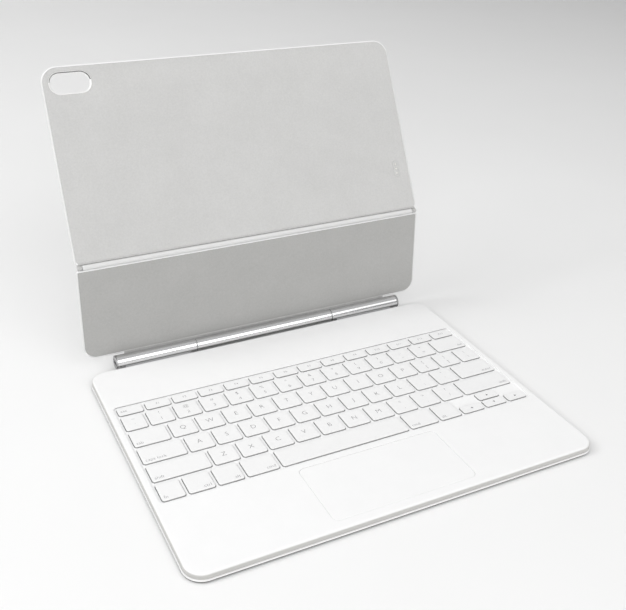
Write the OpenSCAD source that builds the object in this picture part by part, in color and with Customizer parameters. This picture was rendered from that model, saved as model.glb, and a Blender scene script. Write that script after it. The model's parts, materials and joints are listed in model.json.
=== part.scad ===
// Folding keyboard case for a thin 13-inch tablet.
// Origin: centre of the underside. X runs right, Y runs back, Z runs up.
// The case stands open: the short lower cover rises from the hinge barrel, and
// the long upper cover leans back from the fold between them.

/* [Base] */
// Width of the base
base_w = 281; // [276:0.5:288]
// Depth of the base, front edge to rear edge
base_d = 211; // [210:0.5:216]
// Height of the palm rest above the table
base_h = 5.6; // [5.5:0.1:6.2]
// Radius of the base's corners in plan
base_r = 12; // [8:1:16]

/* [Keyboard] */
// Spacing of the keys along a row
key_pitch = 18.78; // [18.4:0.02:18.9]
// Spacing of the rows
row_pitch = 18.2; // [18:0.1:18.4]
// Gap between neighbouring key caps
key_gap = 2.25; // [2:0.05:2.6]
// Corner radius of a key cap
key_r = 1.5; // [0.8:0.1:2.2]
// Travel of a key
key_travel = 1; // [0.5:0.1:1]

/* [Trackpad] */
// Width of the trackpad opening
pad_w = 100; // [90:1:110]
// Depth of the trackpad opening
pad_d = 50; // [40:1:52]
// Travel of the trackpad's click
pad_travel = 0.3; // [0.1:0.1:0.3]

/* [Hinge barrel] */
// Radius of the barrel's two end tubes
barrel_r = 5.1; // [5:0.1:5.4]
// Length of the whole barrel over its end caps
barrel_l = 238; // [228:1:240]
// Length of the middle tube, which turns with the cover
centre_l = 114; // [108:1:118]
// Height of the barrel's axis above the table
hinge_z = 7.1; // [6.9:0.1:7.5]

/* [Covers] */
// Width of both covers
cover_w = 278.4; // [276:0.2:281]
// Thickness of both covers
cover_t = 2.4; // [2.4:0.1:2.8]
// Distance from the barrel's axis to the fold's axis
lower_l = 75.1; // [73:0.1:78]
// Distance from the fold's axis to the top edge
upper_l = 141.4; // [139:0.1:144]
// Angle of the lower cover above the table
lower_angle = 86.5; // [80:0.5:90]
// Angle of the upper cover above the table
upper_angle = 61.5; // [55:0.5:70]
// Radius of the upper cover's top corners
cover_r = 12; // [8:1:14]

/* [Camera cut-out] */
// Width of the cut-out
camera_w = 27.6; // [24:0.2:32]
// Height of the cut-out
camera_h = 13.8; // [12:0.2:16]
// Distance from the cover's left edge to the cut-out
camera_side = 6.2; // [5:0.1:8]
// Distance from the cover's top edge to the cut-out
camera_top = 5.6; // [5:0.1:6.6]

/* [Hidden] */
$fn = 48;
eps = 0.5;        // overshoot of a cut past a face
arc_steps = 6;    // chords in a large corner
key_steps = 3;    // chords in a key's corner

// Stack of the base, from the table up
skin_t = 0.6;                         // flexible skin
rim_w = 1.2;                          // wall of the skin round every plate
plate_top = skin_t + 0.7;             // bottom plate
lip_top = plate_top + 1.1;            // skin's lip round the deck's foot
support_top = plate_top + 0.5;        // keyboard's support plate
dome_top = support_top + 0.3;         // dome sheet
deck_t = 1;
deck_under = base_h - deck_t;
deck_inset = 0.5;
deck_wall = 2;
web_t = 0.5;
cap_top = base_h - 0.1;
cap_t = 0.8;
cap_h = 2.1;
cap_wall = 1.2;
cap_clear = 0.4;                      // key cap to web
scissor_top = cap_top - cap_t - key_travel - 0.4;

// Keyboard layout, in key pitches from the left of the number row
first_u = 0.105;                      // left boundary of every row
last_u = 14.43;                       // right boundary of every row
middle_u = (first_u + last_u) / 2;
row_front = -41.55;                   // front edge of the space bar's row
key_d = row_pitch - key_gap;
half_d = (key_d - 1.3) / 2;           // depth of a half-height key
function_y = row_front + 4.97 * row_pitch;
function_d = 8.4;
well_margin = 1.85;
well_x = (last_u - first_u) * key_pitch / 2 - key_gap / 2 + well_margin;
well_y0 = row_front - well_margin;
well_y1 = function_y + function_d + well_margin;
well_r = 3.2;
web_lap = 1.5;                        // how far the web reaches under the deck

// Key caps, each [left, right, front, depth]; left and right are in pitches
function row_y(row) = row_front + (5 - row) * row_pitch;
function row_keys(row, start, count) =
    [for (i = [0:count - 1]) [start + i, start + i + 1, row_y(row), key_d]];
function_u = (last_u - first_u) / 14; // pitch of the 14 half-height keys
function top_keys(from, to) =
    [for (i = [from:to]) [first_u + i * function_u, first_u + (i + 1) * function_u,
                          function_y, function_d]];
half_rear = row_front + key_d - half_d;

ESCAPE = top_keys(0, 0);
FUNCTIONS = top_keys(1, 13);
NUMBERS = concat([[first_u, 1, row_y(1), key_d]], row_keys(1, 1, 12));
DELETE = [[13, last_u, row_y(1), key_d]];
TAB = [[first_u, 1.5, row_y(2), key_d]];
UPPER_LETTERS = concat(row_keys(2, 1.5, 12), [[13.5, last_u, row_y(2), key_d]]);
CAPS = [[first_u, 1.75, row_y(3), key_d]];
HOME_LETTERS = row_keys(3, 1.75, 11);
RETURN = [[12.75, last_u, row_y(3), key_d]];
LEFT_SHIFT = [[first_u, 2.25, row_y(4), key_d]];
LOWER_LETTERS = row_keys(4, 2.25, 10);
RIGHT_SHIFT = [[12.25, last_u, row_y(4), key_d]];
LEFT_MODIFIERS = [[first_u, 1, row_front, key_d], [1, 2, row_front, key_d],
                  [2, 3, row_front, key_d], [3, 4.25, row_front, key_d]];
SPACE = [[4.25, 9.25, row_front, key_d]];
RIGHT_MODIFIERS = [[9.25, 10.5, row_front, key_d], [10.5, 11.5, row_front, key_d]];
SIDE_ARROWS = [[11.5, 12.5, row_front, half_d], [13.5, last_u, row_front, half_d]];
UPDOWN_ARROWS = [[12.5, 13.5, row_front, half_d], [12.5, 13.5, half_rear, half_d]];
ALL_KEYS = concat(ESCAPE, FUNCTIONS, NUMBERS, DELETE, TAB, UPPER_LETTERS, CAPS,
                  HOME_LETTERS, RETURN, LEFT_SHIFT, LOWER_LETTERS, RIGHT_SHIFT,
                  LEFT_MODIFIERS, SPACE, RIGHT_MODIFIERS, SIDE_ARROWS, UPDOWN_ARROWS);

// Trackpad
pad_y = -48.1;                        // rear edge of the opening
pad_clear = 0.3;
pad_glass_t = 1;
pad_plate_t = 0.5;
pad_under = cap_top - pad_glass_t - pad_plate_t;
spring_top = pad_under - pad_travel - 0.2;
spring_t = 0.3;
pad_r = 4;

// Hinge barrel
barrel_gap = 0.4;                     // base to barrel
hinge_y = base_d / 2 + barrel_gap + barrel_r;
barrel_wall = 1;
centre_r = barrel_r - 0.2;
tube_gap = 0.3;
cap_disc = 1.2;
shaft_r = 2;
shaft_clear = 0.05;
shaft_x = [36, 82];                   // ends of a hinge shaft
plug_x = [38, 56];                    // plug that holds it in the middle tube
clutch_x = [58.5, 78.5];              // friction clutch that it turns in
bracket_x = [62, 112];
bracket_top = plate_top + 2.5;
bracket_y = base_d / 2 - 18;
screw_r = 1;
SCREWS = [for (s = [-1, 1], x = [68, 87, 106]) [s * x, bracket_y + 6]];

// Charging port in the barrel's left end
port_w = 8.4;
port_h = 2.6;
port_wall = 0.3;
port_depth = 7;

// Covers, each in its own axes: x across, y from the tablet's side to the outside,
// z from its hinge to its far edge
lining_y = 5.8;                       // tablet's side, from the barrel's axis
lower_z = 3.3;                        // near edge, from the barrel's axis
fold_y = lining_y + 0.4;              // fold's axis, from the barrel's axis
fold_gap = 2;                         // fold's axis to the covers' ends
lining_t = 0.6;
lower_r = 10;
lower_top_r = 2;
upper_bottom_r = 3.5;
upper_y = lining_y - fold_y;          // tablet's side, from the fold's axis
fold_bend = lower_angle - upper_angle;

// Fold
bead_r = 1.8;
bead_l = 269;
bead_flat = 1.1;                      // flat back of the bead, from its axis
pin_r = 0.6;
pin_clear = 0.06;
lug_x = [bead_l / 2 + 0.3, bead_l / 2 + 3.3];
lug_r = 1.5;
leaf_t = 0.6;

// Middle leaf, from the barrel into the lower cover
leaf_w = 108;
leaf_foot = [-1.2, 0.4];              // height of its foot at the barrel
leaf_top = 22;

// Camera cut-out, in the upper cover's axes
camera_r = camera_h / 2 - 0.3;
camera_x0 = -cover_w / 2 + camera_side;
camera_z1 = upper_l - camera_top;
camera_ring = 1.2;

// Connector, in the upper cover's axes
contact_x = 127.2;
contact_z = 35.8;
contact_pitch = 3.6;
contact_r = 0.9;
contact_clear = 0.06;
contact_w = 5;
contact_l = 12.6;
contact_proud = 0.1;
contact_travel = 0.3;

// Flat cables and magnets in the covers
cable_w = 7;
cable_t = 0.4;
cable_z = [9, 9 + cable_w];           // its level run in the lower cover
magnet = [26, 7];                     // length along x, height
MAGNETS = [for (x = [-84, -48, 48, 84], z = [14, 72, 128]) [x, z]];

// ---- Shapes that repeat ----

function arc(x, y, r, from, steps) =
    [for (i = [0:steps]) let (a = from + 90 * i / steps) [x + r * cos(a), y + r * sin(a)]];

// Rectangle with near corners of radius r0 and far corners of radius r1
function rounded(x0, x1, y0, y1, r0, r1, steps) = concat(
    arc(x1 - r1, y1 - r1, r1, 0, steps), arc(x0 + r1, y1 - r1, r1, 90, steps),
    arc(x0 + r0, y0 + r0, r0, 180, steps), arc(x1 - r0, y0 + r0, r0, 270, steps));

module slab(x, y, z, r, steps = arc_steps)
    translate([0, 0, z[0]]) linear_extrude(z[1] - z[0])
        polygon(rounded(x[0], x[1], y[0], y[1], r, r, steps));

module block(x, y, z)
    translate([x[0], y[0], z[0]]) cube([x[1] - x[0], y[1] - y[0], z[1] - z[0]]);

// Solid with the base's outline, drawn in by a margin
module base_slab(margin, z)
    slab([-base_w / 2 + margin, base_w / 2 - margin],
         [-base_d / 2 + margin, base_d / 2 - margin], z, base_r - margin);

// Rod or ring along X
module rod(x, r) translate([x[0], 0, 0]) rotate([0, 90, 0]) cylinder(h = x[1] - x[0], r = r);
module ring(x, outer, inner) difference() {
    rod(x, outer);
    rod([x[0] - eps, x[1] + eps], inner);
}
module at_hinge() translate([0, hinge_y, hinge_z]) children();
module both_ends() for (s = [0, 1]) mirror([s, 0, 0]) children();

// Upright plate: its outline in x and z, its depth in y
module upright(y) translate([0, y[1], 0]) rotate([90, 0, 0]) linear_extrude(y[1] - y[0])
    children();

module key_outline(key, grow, steps = key_steps)
    polygon(rounded(
        (key[0] - middle_u) * key_pitch + key_gap / 2 - grow,
        (key[1] - middle_u) * key_pitch - key_gap / 2 + grow,
        key[2] - grow, key[2] + key[3] + grow, key_r + grow, key_r + grow, steps));

module key_caps(keys) color("whitesmoke") for (key = keys) difference() {
    translate([0, 0, cap_top - cap_h]) linear_extrude(cap_h) key_outline(key, 0);
    translate([0, 0, cap_top - cap_h - eps]) linear_extrude(cap_h - cap_t + eps)
        key_outline(key, -cap_wall, 1);
}

function key_centre(key) =
    [((key[0] + key[1]) / 2 - middle_u) * key_pitch, key[2] + key[3] / 2];
// Half the depth of the scissor frame under a key
function frame_half(key) = min(4.6, key[3] / 2 - cap_wall - 0.4);

// ---- Base ----

// Slots for the hinge brackets, through the rear edge
module bracket_slots(z) both_ends()
    block([bracket_x[0] - pad_clear, bracket_x[1] + pad_clear],
          [bracket_y, base_d / 2 + eps], [z, bracket_top + pad_clear]);

module base_skin() color("white") difference() {
    base_slab(0, [0, lip_top]);
    base_slab(rim_w, [skin_t, plate_top + eps]);
    base_slab(deck_inset, [plate_top, lip_top + eps]);
    bracket_slots(plate_top);
}

module base_plate() color("silver") difference() {
    base_slab(rim_w, [skin_t, plate_top]);
    for (p = SCREWS) translate([p[0], p[1], 0]) cylinder(h = base_h, r = screw_r);
}

module deck() color("white") difference() {
    base_slab(deck_inset, [plate_top, base_h]);
    base_slab(deck_inset + deck_wall, [plate_top - eps, deck_under]);
    slab([-well_x, well_x], [well_y0, well_y1], [0, base_h + eps], well_r);
    slab([-pad_w / 2, pad_w / 2], [pad_y - pad_d, pad_y], [0, base_h + eps], pad_r);
    bracket_slots(0);
}

module key_web() color("whitesmoke") translate([0, 0, deck_under - web_t])
    linear_extrude(web_t) difference() {
        polygon(rounded(-well_x - web_lap, well_x + web_lap, well_y0 - web_lap,
                        well_y1 + web_lap, well_r, well_r, key_steps));
        for (key = ALL_KEYS) key_outline(key, cap_clear);
    }

module key_support() color("silver")
    slab([-well_x, well_x], [well_y0, well_y1], [plate_top, support_top], well_r);

module dome_sheet() color("lightgray") {
    slab([-well_x, well_x], [well_y0, well_y1], [support_top, dome_top], well_r);
    for (key = ALL_KEYS) translate([key_centre(key)[0], key_centre(key)[1], support_top])
        cylinder(h = scissor_top - 0.1 - support_top,
                 r1 = frame_half(key) * 0.8, r2 = frame_half(key) * 0.3);
}

module scissor_frames() color("white") for (key = ALL_KEYS)
    translate([key_centre(key)[0], key_centre(key)[1], dome_top])
        linear_extrude(scissor_top - dome_top) difference() {
            square([12, 2 * frame_half(key)], center = true);
            square([10.4, 2 * frame_half(key) - 1.2], center = true);
        }

module trackpad_switch() color("gray") {
    block([-4, 4], [pad_y - 30, pad_y - 22], [plate_top, plate_top + 1]);
    translate([0, pad_y - 26, plate_top]) cylinder(h = spring_top - plate_top, r = 2.4);
}

// Two leaf springs on feet, along the trackpad's sides
module trackpad_springs() color("silver") both_ends() {
    for (y = [pad_y - pad_d + 4, pad_y - 10])
        block([36, 44], [y, y + 6], [plate_top, spring_top - spring_t]);
    block([36, 44], [pad_y - pad_d + 4, pad_y - 4], [spring_top - spring_t, spring_top]);
}

module logic_board() color("darkgreen") {
    block([-28, 56], [68, 92], [plate_top, plate_top + 0.8]);
    for (chip = [[-20, 72, 12], [0, 74, 14], [24, 71, 9], [40, 78, 7]])
        block([chip[0], chip[0] + chip[2]], [chip[1], chip[1] + chip[2]],
              [plate_top + 0.8, plate_top + 1.8]);
}

// Flat cables from the board to the port and to the key matrix
module base_cables() color("orange") {
    block([-115, -28], [80, 86], [plate_top, plate_top + cable_t]);
    block([56, 118], [76, 82], [plate_top, plate_top + cable_t]);
}

module base_magnets() color("dimgray") both_ends() {
    block([70, 100], [66, 72], [plate_top, plate_top + 2.6]);
    block([108, 130], [-90, -82], [plate_top, plate_top + 2.6]);
    block([70, 92], [-90, -82], [plate_top, plate_top + 2.6]);
}

// Blocks under the deck's rear edge that cradle the barrel's end tubes
module hinge_brackets() color("silver") difference() {
    both_ends() block(bracket_x, [bracket_y, hinge_y - 1], [plate_top, bracket_top]);
    at_hinge() rod([-barrel_l / 2, barrel_l / 2], barrel_r);
    for (p = SCREWS) translate([p[0], p[1], 0]) cylinder(h = base_h, r = screw_r);
}

module hinge_screws() color("dimgray") for (p = SCREWS) translate([p[0], p[1], 0]) {
    translate([0, 0, skin_t]) cylinder(h = bracket_top - skin_t, r = screw_r);
    translate([0, 0, bracket_top]) cylinder(h = 0.7, r = 1.9);
}

module end_tube() at_hinge()
    ring([centre_l / 2 + tube_gap, barrel_l / 2 - cap_disc], barrel_r, barrel_r - barrel_wall);
module barrel_left() color("silver") mirror([1, 0, 0]) end_tube();
module barrel_right() color("silver") end_tube();

module port_prism(x, grow) translate([x[0], hinge_y, hinge_z]) rotate([90, 0, 90])
    linear_extrude(x[1] - x[0])
        polygon(rounded(-port_w / 2 - grow, port_w / 2 + grow, -port_h / 2 - grow,
                        port_h / 2 + grow, 1.2 + grow, 1.2 + grow, key_steps));

module left_cap() color("silver") difference() {
    at_hinge() rod([-barrel_l / 2, -barrel_l / 2 + cap_disc], barrel_r);
    port_prism([-barrel_l / 2 - eps, -barrel_l / 2 + cap_disc + eps], 0);
}

module right_cap() color("silver")
    at_hinge() rod([barrel_l / 2 - cap_disc, barrel_l / 2], barrel_r);

// The shell is trimmed to the tube's bore where its corners reach it
module port_shell() color("gray") intersection() {
    difference() {
        port_prism([-barrel_l / 2 + cap_disc, -barrel_l / 2 + cap_disc + port_depth], port_wall);
        port_prism([-barrel_l / 2, -barrel_l / 2 + cap_disc + port_depth - 0.5], 0);
    }
    at_hinge() rod([-barrel_l / 2, 0], barrel_r - barrel_wall);
}

module port_tongue() color("black") at_hinge()
    block([-barrel_l / 2 + 1, -barrel_l / 2 + cap_disc + port_depth - 0.5], [-3.3, 3.3],
          [-0.35, 0.35]);

module friction_clutches() color("dimgray") at_hinge() both_ends()
    ring(clutch_x, barrel_r - barrel_wall, shaft_r + shaft_clear);

// ---- Lower cover ----

module lower_frame() at_hinge() rotate([lower_angle - 90, 0, 0]) children();

// Layer of the lower cover, drawn in by a margin
module lower_layer(margin, y) upright(y) polygon(rounded(
    -cover_w / 2 + margin, cover_w / 2 - margin, lower_z + margin, lower_l - fold_gap - margin,
    lower_r - margin, lower_top_r - margin / 2, arc_steps));

core_y = [lining_y + lining_t, lining_y + cover_t - skin_t];

module leaf_plate() block([-leaf_w / 2, leaf_w / 2], core_y, [leaf_foot[0], leaf_top]);

module lower_skin() color("white") lower_frame() difference() {
    lower_layer(0, [lining_y, lining_y + cover_t]);
    lower_layer(rim_w, [lining_y - eps, core_y[1]]);
    leaf_plate();
    bead_leaf();
}

module lower_core() color("gainsboro") lower_frame() difference() {
    lower_layer(rim_w, core_y);
    leaf_plate();
    bead_leaf();
    lower_cable_run([core_y[1] - cable_t, core_y[1] + eps]);
}

module lower_lining() color("darkgray") lower_frame()
    lower_layer(rim_w, [lining_y, core_y[0]]);

module barrel_centre() color("silver") at_hinge()
    ring([-centre_l / 2, centre_l / 2], centre_r, centre_r - barrel_wall);

module shaft_plugs() color("dimgray") at_hinge() both_ends()
    ring(plug_x, centre_r - barrel_wall, shaft_r);

module hinge_shafts() color("gray") at_hinge() both_ends() rod(shaft_x, shaft_r);

// Plate in the lower cover, with a foot that meets the middle tube
module hinge_leaf() color("silver") lower_frame() {
    leaf_plate();
    difference() {
        block([-leaf_w / 2, leaf_w / 2], [0, core_y[0]], leaf_foot);
        rod([-centre_l / 2, centre_l / 2], centre_r);
    }
}

module lower_cable_run(y) {
    block([contact_x - cable_w / 2, contact_x + cable_w / 2], y,
          [cable_z[0], lower_l - fold_gap - rim_w]);
    block([leaf_w / 2, contact_x - cable_w / 2], y, cable_z);
}

module lower_cable() color("orange") lower_frame()
    lower_cable_run([core_y[1] - cable_t, core_y[1]]);

// Flat wing of the bead, which lies in the lower cover's core
module bead_leaf() block([-bead_l / 2, bead_l / 2], [core_y[0], core_y[0] + leaf_t],
                         [lower_l - 9, lower_l]);

module fold_bead() color("white") lower_frame() difference() {
    union() {
        translate([0, fold_y, lower_l]) rod([-bead_l / 2, bead_l / 2], bead_r);
        bead_leaf();
    }
    translate([0, fold_y, lower_l]) {
        rod([-bead_l / 2 - eps, bead_l / 2 + eps], pin_r + pin_clear);
        block([-bead_l / 2 - eps, bead_l / 2 + eps], [bead_flat, bead_r + eps],
              [-bead_r - eps, bead_r + eps]);
    }
}

// Flexible strip of the outer skin that bends behind the bead
strip_y = [upper_y + cover_t - 0.8, upper_y + cover_t];
function bent(y, z) = [y * cos(fold_bend) + z * sin(fold_bend),
                       z * cos(fold_bend) - y * sin(fold_bend)];
function crease(y) = [y, -y * tan(fold_bend / 2)];
module fold_strip() color("white") lower_frame() translate([-bead_l / 2, fold_y, lower_l])
    rotate([90, 0, 90]) linear_extrude(bead_l) polygon([
        [strip_y[0], -fold_gap], [strip_y[1], -fold_gap], crease(strip_y[1]),
        bent(strip_y[1], fold_gap), bent(strip_y[0], fold_gap), crease(strip_y[0])]);

// ---- Upper cover ----

module upper_frame() lower_frame() translate([0, fold_y, lower_l]) rotate([-fold_bend, 0, 0])
    children();

module upper_layer(margin, y) upright(y) polygon(rounded(
    -cover_w / 2 + margin, cover_w / 2 - margin, fold_gap + margin, upper_l - margin,
    upper_bottom_r - margin, cover_r - margin, arc_steps));

module camera_prism(grow, y) upright(y) polygon(rounded(
    camera_x0 - grow, camera_x0 + camera_w + grow, camera_z1 - camera_h - grow,
    camera_z1 + grow, camera_r + grow, camera_r + grow, arc_steps));

module contact_prism(y) upright(y) polygon(rounded(
    contact_x - contact_w / 2, contact_x + contact_w / 2, contact_z - contact_l / 2,
    contact_z + contact_l / 2, contact_w / 2 - 0.1, contact_w / 2 - 0.1, key_steps));

upper_core_y = [upper_y + lining_t, upper_y + cover_t - skin_t];
upper_out = upper_y + cover_t;

module lug_leaves() both_ends() block(lug_x, [upper_core_y[0], upper_core_y[0] + leaf_t], [0, 9]);

module upper_skin() color("white") upper_frame() difference() {
    upper_layer(0, [upper_y, upper_out]);
    upper_layer(rim_w, [upper_y - eps, upper_core_y[1]]);
    camera_prism(camera_ring, [upper_y - eps, upper_out + eps]);
    lug_leaves();
}

module upper_core() color("gainsboro") upper_frame() difference() {
    upper_layer(rim_w, upper_core_y);
    camera_prism(camera_ring, [upper_y - eps, upper_out + eps]);
    contact_prism([upper_y - eps, upper_out]);
    lug_leaves();
    for (m = MAGNETS) magnet_bar(m, [upper_y - eps, upper_out]);
    upper_cable_run([upper_core_y[1] - cable_t, upper_out]);
}

module upper_lining() color("lightgray") upper_frame() difference() {
    upper_layer(rim_w, [upper_y, upper_core_y[0]]);
    camera_prism(camera_ring, [upper_y - eps, upper_out + eps]);
    contact_prism([upper_y - eps, upper_out]);
}

module camera_ring() color("white") upper_frame() difference() {
    camera_prism(camera_ring, [upper_y - contact_proud, upper_out]);
    camera_prism(0, [upper_y - eps, upper_out + eps]);
}

module magnet_bar(m, y)
    block([m[0] - magnet[0] / 2, m[0] + magnet[0] / 2], y,
          [m[1] - magnet[1] / 2, m[1] + magnet[1] / 2]);
module cover_magnets() color("dimgray") upper_frame()
    for (m = MAGNETS) magnet_bar(m, upper_core_y);

module upper_cable_run(y)
    block([contact_x - cable_w / 2, contact_x + cable_w / 2], y,
          [fold_gap + rim_w, contact_z - contact_l / 2]);
module upper_cable() color("orange") upper_frame()
    upper_cable_run([upper_core_y[1] - cable_t, upper_core_y[1]]);

module contact_rods(r, y) for (i = [-1, 0, 1])
    translate([contact_x, y[1], contact_z + i * contact_pitch]) rotate([90, 0, 0])
        cylinder(h = y[1] - y[0], r = r);

module contact_block() color("gainsboro") upper_frame() difference() {
    contact_prism([upper_y - contact_proud, upper_core_y[1]]);
    contact_rods(contact_r + contact_clear, [upper_y - eps, upper_out]);
}

module contact_pins() color("gold") upper_frame()
    contact_rods(contact_r, [upper_y - contact_proud - contact_travel,
                             upper_core_y[1] - contact_travel - 0.2]);

module fold_pin() color("gray") upper_frame() rod([-lug_x[1], lug_x[1]], pin_r);

// Small knuckles at the ends of the bead, which hold the pin
module fold_lugs() color("gray") upper_frame() both_ends() difference() {
    union() {
        rod(lug_x, lug_r);
        block(lug_x, [upper_core_y[0], upper_core_y[0] + leaf_t], [0, 9]);
    }
    rod([lug_x[0] - eps, lug_x[1] + eps], pin_r);
}

// ---- Trackpad and keys ----

module pad_slab(margin, z) slab(
    [-pad_w / 2 + margin, pad_w / 2 - margin], [pad_y - pad_d + margin, pad_y - margin],
    z, pad_r - margin);
module trackpad_glass() color("white")
    pad_slab(pad_clear, [cap_top - pad_glass_t, cap_top]);
module trackpad_plate() color("silver") pad_slab(
    pad_clear + 1.5, [pad_under, cap_top - pad_glass_t]);

module escape_key() key_caps(ESCAPE);
module function_keys() key_caps(FUNCTIONS);
module number_keys() key_caps(NUMBERS);
module delete_key() key_caps(DELETE);
module tab_key() key_caps(TAB);
module upper_letter_keys() key_caps(UPPER_LETTERS);
module caps_lock_key() key_caps(CAPS);
module home_letter_keys() key_caps(HOME_LETTERS);
module return_key() key_caps(RETURN);
module left_shift_key() key_caps(LEFT_SHIFT);
module lower_letter_keys() key_caps(LOWER_LETTERS);
module right_shift_key() key_caps(RIGHT_SHIFT);
module left_modifier_keys() key_caps(LEFT_MODIFIERS);
module space_bar() key_caps(SPACE);
module right_modifier_keys() key_caps(RIGHT_MODIFIERS);
module side_arrow_keys() key_caps(SIDE_ARROWS);
module updown_arrow_keys() key_caps(UPDOWN_ARROWS);

base_skin();
base_plate();
deck();
key_web();
key_support();
dome_sheet();
scissor_frames();
trackpad_switch();
trackpad_springs();
logic_board();
base_cables();
base_magnets();
hinge_brackets();
hinge_screws();
barrel_left();
barrel_right();
left_cap();
right_cap();
friction_clutches();
port_shell();
port_tongue();
lower_skin();
lower_core();
lower_lining();
barrel_centre();
shaft_plugs();
hinge_shafts();
hinge_leaf();
lower_cable();
fold_bead();
fold_strip();
upper_skin();
upper_core();
upper_lining();
camera_ring();
cover_magnets();
upper_cable();
contact_block();
contact_pins();
fold_pin();
fold_lugs();
trackpad_glass();
trackpad_plate();
escape_key();
function_keys();
number_keys();
delete_key();
tab_key();
upper_letter_keys();
caps_lock_key();
home_letter_keys();
return_key();
left_shift_key();
lower_letter_keys();
right_shift_key();
left_modifier_keys();
space_bar();
right_modifier_keys();
side_arrow_keys();
updown_arrow_keys();
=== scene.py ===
"""Looks of the tablet keyboard case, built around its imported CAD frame.

Lengths are in metres. Each cover has its own axes: x across, y from the tablet's side
to the outside, z from its hinge to its far edge.
"""

import json
import math

import bmesh
import bpy
from mathutils import Matrix, Vector
from mathutils.geometry import tessellate_polygon


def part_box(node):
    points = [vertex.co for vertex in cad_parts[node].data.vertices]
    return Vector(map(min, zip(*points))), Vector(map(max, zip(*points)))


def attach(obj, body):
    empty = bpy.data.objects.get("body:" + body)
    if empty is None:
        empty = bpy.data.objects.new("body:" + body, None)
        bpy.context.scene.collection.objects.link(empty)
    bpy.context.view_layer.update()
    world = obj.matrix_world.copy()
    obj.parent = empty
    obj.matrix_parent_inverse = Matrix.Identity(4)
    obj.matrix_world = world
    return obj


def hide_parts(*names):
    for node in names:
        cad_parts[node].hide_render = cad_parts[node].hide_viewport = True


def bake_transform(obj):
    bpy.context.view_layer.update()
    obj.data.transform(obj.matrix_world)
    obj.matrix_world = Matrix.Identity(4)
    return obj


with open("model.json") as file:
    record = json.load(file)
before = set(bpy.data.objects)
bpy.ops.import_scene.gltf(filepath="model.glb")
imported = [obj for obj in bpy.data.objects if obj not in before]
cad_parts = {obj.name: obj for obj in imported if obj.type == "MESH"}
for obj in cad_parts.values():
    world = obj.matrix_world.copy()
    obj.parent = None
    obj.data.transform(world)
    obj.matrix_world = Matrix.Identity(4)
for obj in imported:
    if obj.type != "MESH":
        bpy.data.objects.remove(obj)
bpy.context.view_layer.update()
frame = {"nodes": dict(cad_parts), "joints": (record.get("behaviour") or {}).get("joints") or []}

MM = 0.001
NODES = frame["nodes"]
JOINTS = {joint["name"]: joint for joint in frame["joints"]}


# ---- Camera ----

LENS_MM = 51.59
CAMERA_AT = (-0.25117, -0.43727, 0.36479)
CAMERA_RIGHT = (0.89751, -0.43995, 0.03036)
CAMERA_FORWARD = (0.40812, 0.80256, -0.43512)
CAMERA_SHIFT = (0.0222, -0.0820)


def add_camera():
    data = bpy.data.cameras.new("camera")
    data.sensor_width = 36
    data.lens = LENS_MM
    data.shift_x, data.shift_y = CAMERA_SHIFT
    data.clip_start, data.clip_end = 0.01, 20
    camera = bpy.data.objects.new("camera", data)
    back = -Vector(CAMERA_FORWARD).normalized()
    right = Vector(CAMERA_RIGHT)
    right = (right - right.dot(back) * back).normalized()
    turn = Matrix((right, back.cross(right), back)).transposed()
    camera.matrix_world = Matrix.Translation(CAMERA_AT) @ turn.to_4x4()
    bpy.context.scene.collection.objects.link(camera)
    bpy.context.scene.camera = camera


# ---- Places taken from the frame ----

HINGE = Vector(JOINTS["main_hinge"]["pos_m"])
FOLD = Vector(JOINTS["fold_hinge"]["pos_m"])
LOWER_LEAN = math.radians(JOINTS["main_hinge"]["range_deg"][1] - 90)
UPPER_LEAN = LOWER_LEAN + math.radians(JOINTS["fold_hinge"]["range_deg"][1])
BASE = Matrix.Identity(4)
LOWER = Matrix.Translation(HINGE) @ Matrix.Rotation(-LOWER_LEAN, 4, "X")
UPPER = Matrix.Translation(FOLD) @ Matrix.Rotation(-UPPER_LEAN, 4, "X")
CREASE = Matrix.Translation(FOLD) @ Matrix.Rotation(-LOWER_LEAN, 4, "X")


def extents(node, place=BASE):
    """Lowest and highest corners of a CAD node in the axes of place."""
    inverse = place.inverted()
    corners = [inverse @ vertex.co for vertex in NODES[node].data.vertices]
    return (
        Vector(min(c[i] for c in corners) for i in range(3)),
        Vector(max(c[i] for c in corners) for i in range(3)),
    )


# ---- Mesh building ----

TIGHT_R = 0.02 * MM
FINE_R = 0.3 * MM
FINE_ROUND = ((1, 0), (0.3, 0.3), (0, 1))
TURN_STEPS = 96


def finished(name, mesh_data, place, body, material, replaces=(), sharp=40):
    """Turns a bmesh into a smooth-shaded piece that rides on a body."""
    bmesh.ops.remove_doubles(mesh_data, verts=mesh_data.verts, dist=1e-7)
    bmesh.ops.recalc_face_normals(mesh_data, faces=mesh_data.faces)
    mesh = bpy.data.meshes.new(name)
    mesh_data.to_mesh(mesh)
    mesh_data.free()
    mesh.transform(place)
    mesh.polygons.foreach_set("use_smooth", [True] * len(mesh.polygons))
    mesh.set_sharp_from_angle(angle=math.radians(sharp))
    mesh.materials.append(material)
    piece = bpy.data.objects.new(name, mesh)
    bpy.context.scene.collection.objects.link(piece)
    if body:
        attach(piece, body)
    if replaces:
        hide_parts(*replaces)
    return piece


def rectangle(x0, x1, y0, y1, near_r, far_r, steps):
    """Outline of a rounded rectangle, as a function of how far it is drawn in."""

    def outline(inset=0.0):
        points = []
        corners = (
            (x1, y1, -1, -1, far_r, 0),
            (x0, y1, 1, -1, far_r, 90),
            (x0, y0, 1, 1, near_r, 180),
            (x1, y0, -1, 1, near_r, 270),
        )
        for x, y, to_x, to_y, radius, start in corners:
            r = max(radius - inset, TIGHT_R)
            for step in range(steps + 1):
                angle = math.radians(start + 90 * step / steps)
                points.append(
                    (
                        x + to_x * (inset + r) + r * math.cos(angle),
                        y + to_y * (inset + r) + r * math.sin(angle),
                    )
                )
        return points

    return outline


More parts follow.
